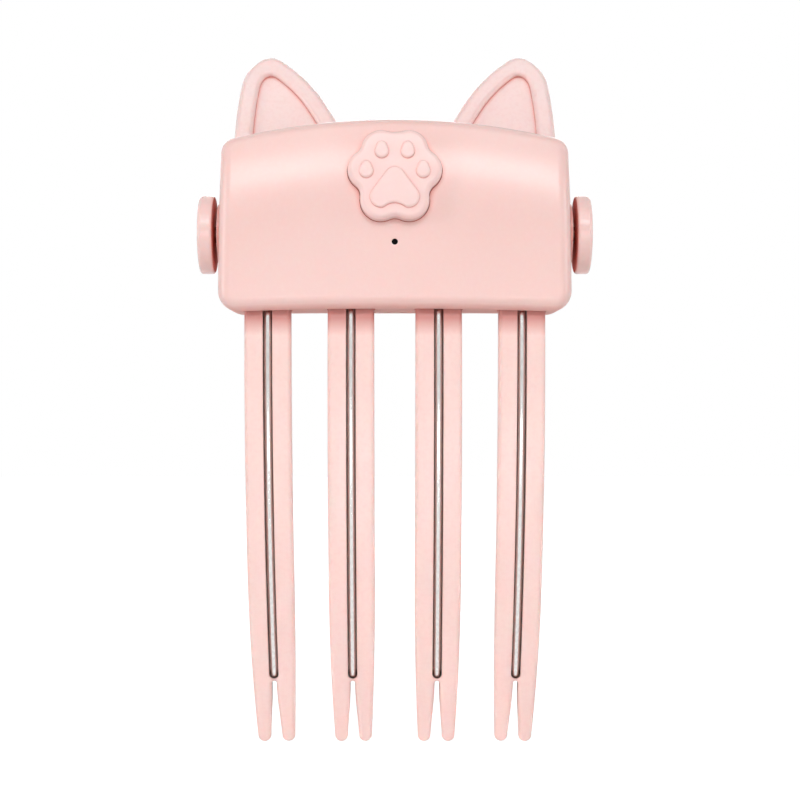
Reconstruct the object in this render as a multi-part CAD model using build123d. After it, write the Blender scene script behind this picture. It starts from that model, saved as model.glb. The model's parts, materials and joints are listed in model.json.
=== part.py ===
"""Heated root volumizing clip with cat ears, a paw-shaped button and four forked, heated tines.

Millimetres. +Z is up, the front faces -Y and +X is to the right as seen from the front.
The origin lies at the level of the tine tips, straight below the hinge axis, in the middle
of the width. The clip is modelled at rest, with its rear jaw closed.
"""
import math
import os

from build123d import *

# Housing, seen from the front
BODY_HALF_W = 32.3        # half width at the bottom corners
BODY_TAPER = 0.4          # the top corners lie this much further in
BODY_BOTTOM_Z = 81.5
BODY_TOP_Z = 116.4
TOP_ARCH_R = 130.0        # radius of the arched top edge
BOTTOM_ARCH_R = 765.0     # radius of the slightly arched bottom edge
TOP_CORNER_R = 2.9
BOTTOM_CORNER_R = 3.7
# Housing, seen from the side
FRONT_Y = -10.0
REAR_Y = 6.5
BROW_Z = 97.0             # above this height the front leans back
BROW_R = 50.0
FRONT_EDGE_R = 2.3
WALL = 1.8

# Gaps and small sizes that many pieces share
RUNNING_GAP = 0.05        # radial, of what turns or slides in a bore
SEAT_GAP = 0.02           # radial, of what is pressed or glued in
SIDE_GAP = 0.3            # between a piece inside and the housing's wall
END_GAP = 0.1             # between a pin's end and the bottom of its hole
ROOT = 0.5                # depth to which a boss or rib is sunk into its wall
EDGE_BREAK = 0.4          # chamfer or fillet of plain edges
CORNER_R = 1.0            # of bars and boards
OVER = 1.0                # how far a cutting body reaches past what it cuts
FAR = 40.0                # half size of cutting bodies that are larger than any piece's depth
FINE = 0.01               # smallest length that counts when edges are picked out

# Hinge
HINGE_Z = 95.6
AXLE_R = 1.5
BOSS_R = 5.75
BOSS_PROUD = 0.45         # past the widest point of the housing
BUSHING_R = 2.6
BUSHING_FLANGE_R = 3.6
BUSHING_FLANGE_T = 0.4
KNOB_R = 7.3
KNOB_T = 3.2
KNOB_GAP = 0.7            # between side boss and knob
KNOB_DOME = 0.5
KNOB_EDGE_R = 0.6
KNOB_FLOOR = 1.3          # of the knob over the axle's end
AXLE_EDGE = 0.2

# Hinge bays, open to the rear
BAY_W = 8.8
BAY_WALL = 1.4
BAY_FLOOR_Z = 90.5
BAY_TOP_Z = 108.0
BAY_FRONT_GAP = 0.3       # between the bay's walls and the housing's front wall

# Tines
TINE_INSET = 9.0          # of the outer tines' middles from the housing's sides
INNER_TINE_SHARE = 0.345  # place of the inner tines, as a share of the outer ones'
TINE_LEANS = (-0.65, -0.15, 0.15, 0.65)   # degrees, so that the tips draw together
TINE_W = 8.5
TINE_TAPER_Z = 32.0       # below this height the tine narrows
TIP_HALF_W = 3.5
TIP_R = 1.22
SLOT_W = 1.76
SPLIT_HALF_W = 0.42       # half the gap between the legs, right below the groove
SPLIT_TOP_Z = 11.95
BULGE_Z = 58.0            # height at which the tine reaches furthest forward
BULGE_Y = -9.2
TINE_FRONT_R = 120.0
TINE_T_TOP = 4.0          # thickness, front to back
TINE_T_MID = 3.4
TINE_T_TIP = 2.5
TINE_EDGE_R = 0.65
TINE_TOP_Z = 84.5
WINDOW_GAP = 0.12         # round each tine, where it passes through the housing's floor

# Base bar of the tines and the parts on it
BAR_T = 3.4
BAR_OVERHANG = 4.8        # past the outer tines' middles
BAR_FRONT_Y = -6.9
BAR_REAR_Y = 0.4
BAR_WEB_Y = -2.6          # the rod channels stop here, so the bar stays whole behind them
HOLDER_T = 2.1
HOLDER_OVERHANG = 2.65
HOLDER_REAR_Y = -1.4
HOLDER_WALL = 1.2         # round the pockets between the rods
POCKET_HALF_X = 2.5
POCKET_FLOOR = 0.8
FLEX_T = 0.25
FLEX_INSET = 0.6          # of the strip from the holder's edges
FLEX_TAB_HALF_X = 5.0
FLEX_TAB_TOP_Z = 92.2

# Heating rods
ROD_R = 0.76
ROD_BORE_R = 0.46
ROD_END_Z = 12.95
ROD_INSET = 0.55          # of the rod's surface behind the tine's front
GROOVE_FLOOR_GAP = 0.03   # between rod and groove floor
CORE_END_GAP = 1.2        # between the rod's closed end and its bore
ROD_TOP_INSET = 0.3       # of the rod's open end below the holder's top
CORE_TOP_INSET = 0.2

# Paw button
PAW_Z = 105.3
PAW_PROUD = 1.75
PAW_GAP = 0.1
PAW_EDGE_R = 0.95
PAW_CORE_R = 6.0
PAW_LOBES = ((2.5, 4.9, 3.6), (4.85, 1.15, 3.75), (2.55, -4.45, 3.75))   # x, y, radius; mirrored
PAW_BLEND_R = 2.4
PAW_TOP_BLEND_R = 6.0
TOE_PADS = ((2.35, 4.6), (5.15, 0.9))    # centres, mirrored
TOE_W = 2.6
TOE_H = 3.25
TOE_TIP_SHARE = 0.36      # radius of a toe's upper end, as a share of its width
MAIN_TOP = (-0.4, 1.8)    # y and radius of the main pad's upper end
MAIN_LOBE = (2.45, -4.2, 2.05)   # x, y and radius, mirrored
MAIN_DIP = (-8.1, 2.73)   # y and radius of the circle that makes its dip
MAIN_DIP_R = 0.9
PAD_PROUD = 0.55
PAD_EDGE_R = 0.45
FLANGE_TOP = -3.1         # along the button's axis, from the housing's surface
FLANGE_T = 0.8
FLANGE_OVER = 0.8         # past the button hole
BUTTON_TRAVEL = 0.5
PLUNGER_R = 1.3
PLUNGER_L = 1.5
PLUNGER_EDGE = 0.2
SWITCH_SIDE = 6.0
SWITCH_CORNER_R = 0.6
SWITCH_T = 1.8
SWITCH_FLOOR = 0.4
SWITCH_GAP = 0.2          # left between flange and switch when the button is pressed
SMALL_BOARD_W = 25.6
SMALL_BOARD_H = 11.0
SMALL_BOARD_T = 0.8
POST_X = 11.2
POST_R = 1.3
POST_PIN_R = 0.6
POST_PIN_PROUD = 0.2      # past the small board

# Indicator
LED_Z = 93.5
PIPE_R = 0.55
PIPE_BODY_R = 1.0
PIPE_INSET = 0.5
PIPE_BOSS_R = 2.0
PIPE_BOSS_L = 3.0
LED_W = 1.6
LED_H = 1.2
LED_T = 0.6

# Control board, charging socket and battery
BOARD_SIDE_GAP = 1.0      # to the hinge bays
BOARD_FRONT_Y = -0.8
BOARD_T = 1.0
BOARD_BOTTOM_Z = 89.5
BOARD_TOP_Z = 112.4
CHIP_SIDE = 5.0
CHIP_T = 0.9
CHIP_X = 8.5
COIL_T = 1.0
COIL_X = -9.5
CHIP_Z = 95.0
USB_W = 8.94
USB_T = 3.2
USB_SHELL = 0.3
USB_FLOOR = 0.9
USB_L = 7.2
USB_SUNK = 0.15           # of its mouth below the top of the housing
USB_TONGUE_W = 6.7
USB_TONGUE_T = 0.7
USB_TONGUE_SUNK = 0.8
USB_HOLE_GAP = 0.15
BATTERY_SIDE_GAP = 3.0    # to the hinge bays
BATTERY_H = 17.0
BATTERY_T = 4.1
BATTERY_BOTTOM_Z = 90.3
BATTERY_GAP = 0.2
BATTERY_CORNER_R = 1.2
BATTERY_EDGE_R = 0.5
LEAD_R = 0.4
LEAD_INSETS = (4.5, 7.0)  # of the leads from the cell's side
LEAD_RISE = 1.5
LEAD_BEND_R = 1.0

# Back cover and its screws
COVER_GAP = 0.15
SCREW_R = 0.95
SCREW_HEAD_R = 1.45
SCREW_HEAD_T = 1.1
SCREW_RECESS = 0.15
SCREW_FLOOR = 0.4         # of the boss below the screw's point
CROSS_HALF_L = 0.85
CROSS_HALF_W = 0.22
UPPER_SCREW_IN = 2.5      # from the bay's wall
UPPER_SCREW_Z = 110.5
UPPER_SCREW_L = 6.0       # in front of the cover
LOWER_SCREW_RISE = 0.1    # above the middle of the base bar
SCREW_BOSS_R = 2.2
LOWER_POST_R = 1.55
SHELF_T = 1.0
SHELF_GAP = 0.6           # between shelf and control board, past the battery's gap

# Rear lever with the ears; u runs to the side, v up the plate, from the foot of its lean
LEVER_LEAN = 22.0
LEVER_FACE = 7.9          # distance from the hinge axis to the plate's front face
LEVER_T = 2.6
LEVER_INSET = 0.8         # of the lever's sides from the housing's widest point
LEVER_TOP_V = 24.5
SKIRT_BOTTOM_Z = 83.0
SKIRT_FACE_Y = 7.3
LEVER_BEND_V = 0.6
LEVER_BEND_DROP = 2.0     # height of the bend between the leaning plate and the skirt
LEVER_BEND_R = 1.5
LEVER_FRONT_R = 1.2
LEVER_REAR_R = 0.9
EAR_ARCS = ((1.05, 37.7), (5.05, 43.6), (8.8, 43.45), (17.5, 34.0), (22.55, 25.0))   # from the side, v
EAR_ROOT_R = 2.0
EAR_RIM = 3.65
EAR_RIM_R = 0.9           # of the rim's inner edge
EAR_RECESS = 1.1
EAR_PANEL_R = 1.8
EAR_PANEL_BOTTOM_V = 24.5
LUG_GAP = 0.1             # between lug and bushing flange
LUG_T = 3.0
LUG_R = 4.0
LUG_LOW_DZ = -3.6         # where the lug meets the plate, from the hinge
LUG_HIGH_DZ = 6.5
LUG_TOP_Y = 1.2           # where its upper edge leaves the eye

# Press comb
COMB_OVERHANG = 3.65
COMB_TOP_Z = 89.4
COMB_BOTTOM_Z = 81.5
COMB_T = 2.5
COMB_CORNER_R = 1.5
COMB_EDGE_R = 0.6
TOOTH_W = 5.6
TOOTH_T = 2.6
TOOTH_END_Z = 16.5
TOOTH_JOIN_Z = 60.0       # below this height the tooth follows the tine
TOOTH_PULL = 9.0          # length of the tooth's upper bend at either end
TOOTH_END_R = 1.6
TOOTH_EDGE_R = 0.55
PAD_W = 4.4
PAD_T = 1.0
PAD_CORNER_R = 1.2
PAD_JAW_GAP = 0.4         # between pad and tine, jaw closed
PAD_TOP_Z = 57.0
PAD_BOTTOM_Z = 19.5
CLAMP_SCREW_Z = 87.3

# Torsion springs
SPRING_WIRE_R = 0.4
SPRING_MEAN_R = 2.55
SPRING_BAY_GAP = 0.3      # between the coil and the bay's inner wall
SPRING_LUG_GAP = 0.15
SPRING_TURNS = 3
SPRING_FOOT_Y = -6.5      # of the leg that rests on the bay's floor
SPRING_REST_GAP = 0.05
SPRING_ARM_V = 9.0        # where the other leg meets the lever

# Worked out from the values above
BODY_HALF_W_TOP = BODY_HALF_W - BODY_TAPER
BODY_ARCH_Z = BODY_TOP_Z - TOP_ARCH_R
BAY_OUTER_X = BODY_HALF_W - WALL - SIDE_GAP
BAY_INNER_X = BAY_OUTER_X - BAY_W
BOSS_X = BODY_HALF_W + BOSS_PROUD
KNOB_X = BOSS_X + KNOB_GAP
OUTER_TINE_X = BODY_HALF_W - TINE_INSET
INNER_TINE_X = OUTER_TINE_X * INNER_TINE_SHARE
TINE_X = (-OUTER_TINE_X, -INNER_TINE_X, INNER_TINE_X, OUTER_TINE_X)
BAR_HALF_X = OUTER_TINE_X + BAR_OVERHANG
BAR_BOTTOM_Z = BODY_BOTTOM_Z + WALL
BAR_TOP_Z = BAR_BOTTOM_Z + BAR_T
HOLDER_HALF_X = OUTER_TINE_X + HOLDER_OVERHANG
HOLDER_TOP_Z = BAR_TOP_Z + HOLDER_T
ROD_TOP_Z = HOLDER_TOP_Z - ROD_TOP_INSET
BOARD_HALF_X = BAY_INNER_X - BAY_WALL - BOARD_SIDE_GAP
BOARD_REAR_Y = BOARD_FRONT_Y + BOARD_T
BATTERY_W = 2 * (BAY_INNER_X - BAY_WALL - BATTERY_SIDE_GAP)
COVER_FRONT_Y = REAR_Y - WALL
PAW_TILT = math.degrees(math.asin((PAW_Z - BROW_Z) / BROW_R))
PAW_Y = FRONT_Y + BROW_R * (1 - math.cos(math.radians(PAW_TILT)))
SWITCH_TOP = FLANGE_TOP - FLANGE_T - BUTTON_TRAVEL - SWITCH_GAP
SMALL_BOARD_TOP = SWITCH_TOP - SWITCH_T
UPPER_SCREW_X = BAY_INNER_X - BAY_WALL - UPPER_SCREW_IN
LOWER_SCREW_X = (OUTER_TINE_X + INNER_TINE_X) / 2
LOWER_SCREW_Z = BAR_BOTTOM_Z + BAR_T / 2 + LOWER_SCREW_RISE
LEVER_HALF_W = BODY_HALF_W - LEVER_INSET
LUG_OUT_X = BAY_OUTER_X - BUSHING_FLANGE_T - LUG_GAP
LUG_IN_X = LUG_OUT_X - LUG_T
COMB_HALF_X = OUTER_TINE_X + COMB_OVERHANG
COMB_FACE_Y = SKIRT_FACE_Y + LEVER_T
CLAMP_SCREW_X = (-LOWER_SCREW_X, 0.0, LOWER_SCREW_X)
SPRING_START_X = BAY_INNER_X + SPRING_BAY_GAP + SPRING_WIRE_R
SPRING_END_X = LUG_IN_X - SPRING_LUG_GAP - SPRING_WIRE_R


def box(x, y, z):
    """Block between the two values of each pair."""
    size = [abs(b - a) for a, b in (x, y, z)]
    middle = [(a + b) / 2 for a, b in (x, y, z)]
    return Pos(*middle) * Box(*size)


def rod_x(x0, x1, radius, y=0.0, z=HINGE_Z):
    """Cylinder along X, from x0 to x1."""
    return Pos((x0 + x1) / 2, y, z) * Rot(0, 90, 0) * Cylinder(radius, abs(x1 - x0))


def rod_y(x, z, y0, y1, radius):
    """Cylinder along Y, from y0 to y1."""
    return Pos(x, (y0 + y1) / 2, z) * Rot(90, 0, 0) * Cylinder(radius, abs(y1 - y0))


def front_prism(sketch, y0=-FAR, y1=FAR):
    """Extrudes a front view from y0 to y1."""
    return extrude(Plane.XZ.offset(-y1) * sketch, amount=y1 - y0)


def side_prism(sketch, x0=-FAR, x1=FAR):
    """Extrudes a side view, drawn in Y and Z, from x0 to x1."""
    return extrude(Plane.YZ.offset(x0) * sketch, amount=x1 - x0)


def single(shape):
    """The one solid of a shape."""
    solids = shape.solids()
    assert len(solids) == 1, f"expected one solid, found {len(solids)}"
    return solids[0]


def mirrored(shape):
    """The same piece for the other side."""
    return mirror(shape, about=Plane.YZ)


# Housing

def top_edge_z(x, inset=0.0):
    """Height of the arched top edge."""
    return BODY_ARCH_Z + math.sqrt((TOP_ARCH_R - inset) ** 2 - x ** 2)


def bottom_edge_z(x, inset=0.0):
    """Height of the arched bottom edge."""
    radius = BOTTOM_ARCH_R + inset
    return BODY_BOTTOM_Z - BOTTOM_ARCH_R + math.sqrt(radius ** 2 - x ** 2)


def housing_outline(inset=0.0):
    """Front view of the housing, drawn in by inset."""
    low = BODY_HALF_W - inset
    high = BODY_HALF_W_TOP - inset
    z_low = bottom_edge_z(low, inset)
    z_high = top_edge_z(high, inset)
    face = make_face([
        ThreePointArc((-low, z_low), (0, bottom_edge_z(0, inset)), (low, z_low)).edge(),
        Line((low, z_low), (high, z_high)).edge(),
        ThreePointArc((high, z_high), (0, top_edge_z(0, inset)), (-high, z_high)).edge(),
        Line((-high, z_high), (-low, z_low)).edge(),
    ])
    corners = face.vertices().sort_by(Axis.Y)
    rounded = fillet(corners[:2], BOTTOM_CORNER_R - inset)
    corners = rounded.vertices().sort_by(Axis.Y)
    return fillet(corners[-2:], TOP_CORNER_R - inset)


def brow_solid(inset=0.0):
    """The housing's front: flat below, leaning back above, arched like its top edge."""
    low = BODY_BOTTOM_Z - FAR
    rear = REAR_Y + OVER
    front = FRONT_Y + inset
    radius = BROW_R - inset
    reach = BODY_TOP_Z - BROW_Z + 2 * TOP_CORNER_R
    middle = reach / 2
    top_y, middle_y = (FRONT_Y + BROW_R - math.sqrt(radius ** 2 - rise ** 2) for rise in (reach, middle))
    profile = make_face([
        Line((rear, low), (front, low)).edge(),
        Line((front, low), (front, BROW_Z)).edge(),
        ThreePointArc((front, BROW_Z), (middle_y, BROW_Z + middle), (top_y, BROW_Z + reach)).edge(),
        Line((top_y, BROW_Z + reach), (rear, BROW_Z + reach)).edge(),
        Line((rear, BROW_Z + reach), (rear, low)).edge(),
    ])
    half_angle = 25
    start = Pos(0, 0, BODY_ARCH_Z) * Rot(0, -half_angle, 0) * Pos(0, 0, -BODY_ARCH_Z)
    axis = Axis((0, 0, BODY_ARCH_Z), (0, 1, 0))
    return revolve(start * (Plane.YZ * profile), axis, 2 * half_angle)


def housing_block(inset=0.0):
    """Solid housing, drawn in by inset at the front and all round."""
    block = front_prism(housing_outline(inset), FRONT_Y - OVER, REAR_Y)
    return block & brow_solid(inset)


def is_front_edge(edge):
    """True for the edges that run round the housing's front."""
    middle = edge.center()
    on_brow_line = abs(middle.X) < OVER and abs(middle.Z - BROW_Z) < WALL
    along_y = abs(edge.bounding_box().size.Y - edge.length) < FINE
    return middle.Y < 0 and not on_brow_line and not along_y


def paw_outline(grow=0.0):
    """Scalloped outline of the button, made of six round lobes."""
    shape = Circle(PAW_CORE_R + grow)
    for x, y, radius in PAW_LOBES:
        shape += Pos(x, y) * Circle(radius + grow)
        shape += Pos(-x, y) * Circle(radius + grow)
    notches = shape.vertices().sort_by(Axis.Y)
    top = notches[-1]
    shape = fillet(notches[:-1], PAW_BLEND_R - grow)
    top = shape.vertices().sort_by_distance(top)[0]
    return fillet(top, PAW_TOP_BLEND_R - grow)


PAW_PLANE = Plane(
    origin=(0, PAW_Y, PAW_Z),
    x_dir=(1, 0, 0),
    z_dir=(0, -math.cos(math.radians(PAW_TILT)), math.sin(math.radians(PAW_TILT))),
)


def along_button(sketch, low, high):
    """Extrudes a sketch along the button's axis, between two heights over the housing."""
    return extrude(PAW_PLANE.offset(low) * sketch, amount=high - low)


# Tines, seen from the side

def circle_through(a, b, c):
    """Centre and radius of the circle through three points."""
    d = 2 * (a[0] * (b[1] - c[1]) + b[0] * (c[1] - a[1]) + c[0] * (a[1] - b[1]))
    sa, sb, sc = (p[0] ** 2 + p[1] ** 2 for p in (a, b, c))
    x = (sa * (b[1] - c[1]) + sb * (c[1] - a[1]) + sc * (a[1] - b[1])) / d
    y = (sa * (c[0] - b[0]) + sb * (a[0] - c[0]) + sc * (b[0] - a[0])) / d
    return x, y, math.hypot(a[0] - x, a[1] - y)


def circle_y(circle, z):
    """Front-to-back place of a circle's front half at a height."""
    y, centre_z, radius = circle
    return y - math.sqrt(radius ** 2 - (z - centre_z) ** 2)


def moved_circle(circle, behind):
    """The same curve, a distance further back."""
    return circle[0], circle[1], circle[2] - behind


TINE_FRONT = (BULGE_Y + TINE_FRONT_R, BULGE_Z, TINE_FRONT_R)
TINE_REAR = circle_through(
    (circle_y(TINE_FRONT, TINE_TOP_Z) + TINE_T_TOP, TINE_TOP_Z),
    (circle_y(TINE_FRONT, TINE_TOP_Z / 2) + TINE_T_MID, TINE_TOP_Z / 2),
    (circle_y(TINE_FRONT, 0) + TINE_T_TIP, 0),
)
ROD_LINE = moved_circle(TINE_FRONT, ROD_INSET + ROD_R)
GROOVE_FLOOR = moved_circle(TINE_FRONT, ROD_INSET + 2 * ROD_R + GROOVE_FLOOR_GAP)
GROOVE_MOUTH = moved_circle(TINE_FRONT, -TINE_T_TOP)


def arc_between(circle, z0, z1):
    """Edge of a circle's front half between two heights."""
    zs = (z0, (z0 + z1) / 2, z1)
    return ThreePointArc(*[(circle_y(circle, z), z) for z in zs]).edge()


def band(front, rear, z0, z1):
    """Side view between two curves and two heights."""
    return make_face([
        arc_between(front, z0, z1),
        Line((circle_y(front, z1), z1), (circle_y(rear, z1), z1)).edge(),
        arc_between(rear, z1, z0),
        Line((circle_y(rear, z0), z0), (circle_y(front, z0), z0)).edge(),
    ])


def tine_place(index):
    """Moves a tine from the middle to its place, with its lean."""
    return Pos(TINE_X[index], 0, BODY_BOTTOM_Z) * Rot(0, TINE_LEANS[index], 0) * Pos(0, 0, -BODY_BOTTOM_Z)


def tine_outline():
    """Front view of a tine that stands in the middle: two legs below, joined above the split."""
    half = TINE_W / 2
    outer = TangentArc((half, TINE_TAPER_Z), (TIP_HALF_W, TIP_R), tangent=(0, -1))
    tip = TangentArc((TIP_HALF_W, TIP_R), (TIP_HALF_W - 2 * TIP_R, TIP_R), tangent=outer % 1)
    low = tip @ 1
    pull = SPLIT_TOP_Z / 3
    top = (SPLIT_HALF_W, SPLIT_TOP_Z)
    inner = Bezier(low, low + (tip % 1) * pull, (SPLIT_HALF_W, SPLIT_TOP_Z - pull), top)
    crown = ThreePointArc(top, (0, SPLIT_TOP_Z + SPLIT_HALF_W), (-SPLIT_HALF_W, SPLIT_TOP_Z))
    right = [inner.edge(), tip.edge(), outer.edge(),
             Line((half, TINE_TAPER_Z), (half, TINE_TOP_Z)).edge()]
    left = [edge.mirror(Plane.YZ) for edge in right]
    return make_face(right + left + [crown.edge(), Line((half, TINE_TOP_Z), (-half, TINE_TOP_Z)).edge()])


def rod_groove():
    """What the heating rod's groove takes out of a tine, with a round lower end."""
    end_z = ROD_END_Z + ROD_R
    top_z = TINE_TOP_Z + OVER
    sketch = Pos(0, end_z) * Circle(SLOT_W / 2)
    sketch += Pos(0, (end_z + top_z) / 2) * Rectangle(SLOT_W, top_z - end_z)
    depth = side_prism(band(GROOVE_MOUTH, GROOVE_FLOOR, 0, top_z + OVER), -SLOT_W, SLOT_W)
    return front_prism(sketch) & depth


def make_tine():
    """Tine in the middle, curved front to back, with rounded edges and the rod's groove."""
    side = band(TINE_FRONT, TINE_REAR, -OVER, TINE_TOP_Z + OVER)
    tine = front_prism(tine_outline()) & side_prism(side, -TINE_W, TINE_W)
    tine = fillet([e for e in tine.edges() if is_long_edge(e)], TINE_EDGE_R)
    return tine - rod_groove()


def is_long_edge(edge):
    """True for the edges between a tine's sides and its front or rear face."""
    bounds = edge.bounding_box()
    along_y = abs(bounds.size.Y - edge.length) < FINE
    in_split = abs((edge @ 0.5).X) < SPLIT_HALF_W + FINE
    return not along_y and not in_split and bounds.min.Z < TINE_TOP_Z - FINE


def make_fork_comb():
    tine = make_tine()
    comb = box((-BAR_HALF_X, BAR_HALF_X), (BAR_FRONT_Y, BAR_REAR_Y), (BAR_BOTTOM_Z, BAR_TOP_Z))
    comb = fillet(comb.edges().filter_by(Axis.Z), CORNER_R)
    channel = box((-SLOT_W / 2, SLOT_W / 2), (FRONT_Y - OVER, BAR_WEB_Y),
                  (BAR_BOTTOM_Z - OVER, BAR_TOP_Z + OVER))
    for index in range(len(TINE_X)):
        comb = comb + tine_place(index) * tine
        comb = comb - tine_place(index) * channel
    for side in (-1, 1):
        comb -= rod_y(side * LOWER_SCREW_X, LOWER_SCREW_Z, BAR_FRONT_Y - OVER, BAR_REAR_Y + OVER,
                      SCREW_R + SEAT_GAP)
    return single(comb)


def rod_path(z0, z1, circle=ROD_LINE):
    """Centre line of a rod between two heights, in the middle plane."""
    return Plane.YZ * arc_between(circle, z0, z1)


def swept_rod(z0, z1, radius):
    """Round bar along the rods' centre line."""
    path = rod_path(z0, z1)
    start = Plane(origin=path @ 0, z_dir=path % 0)
    return sweep(start * Circle(radius), path=path)


def make_heating_rod():
    end_z = ROD_END_Z + ROD_R
    sheath = swept_rod(end_z, ROD_TOP_Z, ROD_R)
    sheath += Pos(0, circle_y(ROD_LINE, end_z), end_z) * Sphere(ROD_R)
    return single(sheath - swept_rod(end_z + CORE_END_GAP, ROD_TOP_Z + OVER, ROD_BORE_R))


def make_heater_core():
    low = ROD_END_Z + ROD_R + CORE_END_GAP + END_GAP
    return swept_rod(low, HOLDER_TOP_Z - CORE_TOP_INSET, ROD_BORE_R - SEAT_GAP)


def make_rod_holder():
    holder = box((-HOLDER_HALF_X, HOLDER_HALF_X), (BAR_FRONT_Y, HOLDER_REAR_Y), (BAR_TOP_Z, HOLDER_TOP_Z))
    holder = fillet(holder.edges().filter_by(Axis.Z), CORNER_R)
    holder = chamfer(holder.faces().sort_by(Axis.Z)[-1].edges(), EDGE_BREAK)
    bore = swept_rod(BAR_TOP_Z - OVER, HOLDER_TOP_Z + OVER, ROD_R + SEAT_GAP)
    for index in range(len(TINE_X)):
        holder -= tine_place(index) * bore
    for left, right in zip(TINE_X, TINE_X[1:]):
        middle = (left + right) / 2
        holder -= box((middle - POCKET_HALF_X, middle + POCKET_HALF_X),
                      (BAR_FRONT_Y + HOLDER_WALL, HOLDER_REAR_Y - HOLDER_WALL),
                      (BAR_TOP_Z + POCKET_FLOOR, HOLDER_TOP_Z + OVER))
    return single(holder)


def make_heater_flex():
    """Flexible circuit: a strip over the rod roots and a tab up the control board."""
    half = HOLDER_HALF_X - FLEX_INSET
    thickness = (HOLDER_TOP_Z, HOLDER_TOP_Z + FLEX_T)
    strip = box((-half, half), (BAR_FRONT_Y + FLEX_INSET, HOLDER_REAR_Y - FLEX_INSET), thickness)
    bridge = box((-FLEX_TAB_HALF_X, FLEX_TAB_HALF_X), (HOLDER_REAR_Y - OVER, BOARD_FRONT_Y), thickness)
    tab = box((-FLEX_TAB_HALF_X, FLEX_TAB_HALF_X), (BOARD_FRONT_Y - FLEX_T, BOARD_FRONT_Y),
              (HOLDER_TOP_Z, FLEX_TAB_TOP_Z))
    return single(strip + bridge + tab)


# Front shell

def make_front_shell():
    shell = housing_block()
    shell = fillet([e for e in shell.edges() if is_front_edge(e)], FRONT_EDGE_R)
    inside = housing_outline(WALL)
    shell -= housing_block(WALL) + front_prism(inside, 0, REAR_Y + OVER)
    for side in (-1, 1):
        root = side * (BODY_HALF_W - WALL - ROOT)
        shell += rod_x(root, side * BOSS_X, BOSS_R) - front_prism(inside)
        shell -= rod_x(root - side, side * (BOSS_X + OVER), BUSHING_R + SEAT_GAP)
    shell -= along_button(paw_outline(PAW_GAP), -2 * WALL, 2 * WALL)
    shell = add_front_bosses(shell)
    shell -= rod_y(0, LED_Z, FRONT_Y - OVER, FRONT_Y + WALL + OVER, PIPE_R + SEAT_GAP)
    shell -= fork_windows()
    shell -= usb_hole()
    return single(shell)


def add_front_bosses(shell):
    """Bosses, posts and the light pipe's sleeve inside the front wall."""
    inner_y = FRONT_Y + WALL
    limit = housing_block(ROOT)
    for side in (-1, 1):
        upper = rod_y(side * UPPER_SCREW_X, UPPER_SCREW_Z, inner_y - ROOT, COVER_FRONT_Y, SCREW_BOSS_R)
        lower = rod_y(side * LOWER_SCREW_X, LOWER_SCREW_Z, inner_y - ROOT, BAR_FRONT_Y, SCREW_BOSS_R)
        post = along_button(Pos(side * POST_X, 0) * Circle(POST_R), SMALL_BOARD_TOP, -ROOT)
        pin_end = SMALL_BOARD_TOP - SMALL_BOARD_T - POST_PIN_PROUD
        pin = along_button(Pos(side * POST_X, 0) * Circle(POST_PIN_R), pin_end, -ROOT)
        for boss in (upper, lower, post, pin):
            shell += boss & limit
        for x, z, tip in screw_points(side):
            shell -= rod_y(x, z, tip, REAR_Y, SCREW_R + SEAT_GAP)
    sleeve = rod_y(0, LED_Z, inner_y - ROOT, inner_y + PIPE_BOSS_L, PIPE_BOSS_R)
    sleeve -= rod_y(0, LED_Z, inner_y, inner_y + PIPE_BOSS_L + OVER, PIPE_BODY_R + SEAT_GAP)
    return shell + sleeve


def screw_points(side):
    """X, Z and the hole's end in Y of the upper and lower housing screws of one side."""
    return (
        (side * UPPER_SCREW_X, UPPER_SCREW_Z, COVER_FRONT_Y - UPPER_SCREW_L),
        (side * LOWER_SCREW_X, LOWER_SCREW_Z, FRONT_Y + WALL - ROOT + SCREW_FLOOR),
    )


def fork_windows():
    """Openings in the housing's floor for the four tines."""
    low = BODY_BOTTOM_Z - OVER
    high = BAR_BOTTOM_Z
    front = min(circle_y(TINE_FRONT, z) for z in (low, high)) - WINDOW_GAP
    rear = circle_y(TINE_REAR, high) + WINDOW_GAP
    half = TINE_W / 2 + WINDOW_GAP
    hole = box((-half, half), (front, rear), (low - OVER, high + ROOT))
    return Compound([tine_place(index) * hole for index in range(len(TINE_X))])


def usb_hole():
    """Opening for the charging socket in the housing's top wall."""
    y = BOARD_REAR_Y + USB_T / 2
    sketch = slot_shape(USB_W + 2 * USB_HOLE_GAP, USB_T + 2 * USB_HOLE_GAP)
    return Pos(0, y, BOARD_TOP_Z - OVER) * extrude(sketch, amount=BODY_TOP_Z - BOARD_TOP_Z + 2 * OVER)


def slot_shape(width, thickness):
    """Rectangle with round ends, as of the charging socket."""
    return RectangleRounded(width, thickness, thickness / 2 - FINE)


def make_bushing(side):
    inner = side * (BAY_OUTER_X - BUSHING_FLANGE_T)
    sleeve = rod_x(inner, side * BOSS_X, BUSHING_R)
    flange = rod_x(inner, side * BAY_OUTER_X, BUSHING_FLANGE_R)
    bore = rod_x(inner - side * OVER, side * (BOSS_X + OVER), AXLE_R + RUNNING_GAP)
    return single(sleeve + flange - bore)


# Back cover

def bay_sketch(side, grow=0.0):
    """Front view of one bay's opening, up to the housing's side."""
    x0 = BAY_INNER_X - grow
    x1 = BODY_HALF_W + OVER
    z0 = BAY_FLOOR_Z - grow
    z1 = BAY_TOP_Z + grow
    return Pos(side * (x0 + x1) / 2, (z0 + z1) / 2) * Rectangle(x1 - x0, z1 - z0)


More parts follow.
